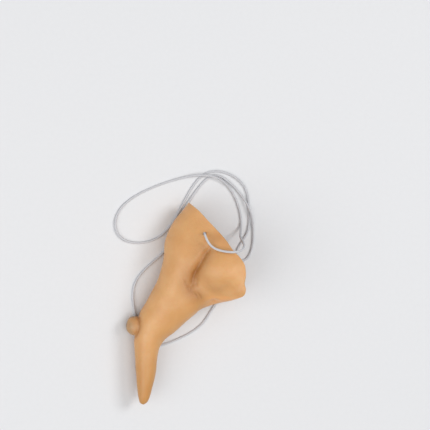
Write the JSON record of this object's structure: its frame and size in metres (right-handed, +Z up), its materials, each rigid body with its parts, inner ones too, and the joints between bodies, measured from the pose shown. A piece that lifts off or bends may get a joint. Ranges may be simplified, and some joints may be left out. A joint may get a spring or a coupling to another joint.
{
  "type": "halloween fake nose",
  "caption": "Hollow soft-vinyl witch nose with a hooked tip, creased wings and a wart, worn on a thin round elastic that is knotted through a hole in each side.",
  "frame": {"origin": "on the surface it lies on, at the middle of the nose's box, with the elastic left out", "axes": "+Z up from the surface, +Y from the tip towards the top of the bridge, +X from the ridge towards the open back"},
  "size_m": [0.0737, 0.115, 0.0373],
  "materials": {
    "soft_vinyl": "satin moulded soft vinyl, peach tan",
    "elastic": "covered round elastic, pale grey"
  },
  "bodies": {
    "root": {"nose_shell": "soft_vinyl", "elastic_cord": "elastic", "knot_left": "elastic", "knot_right": "elastic"}
  },
  "joints": []
}
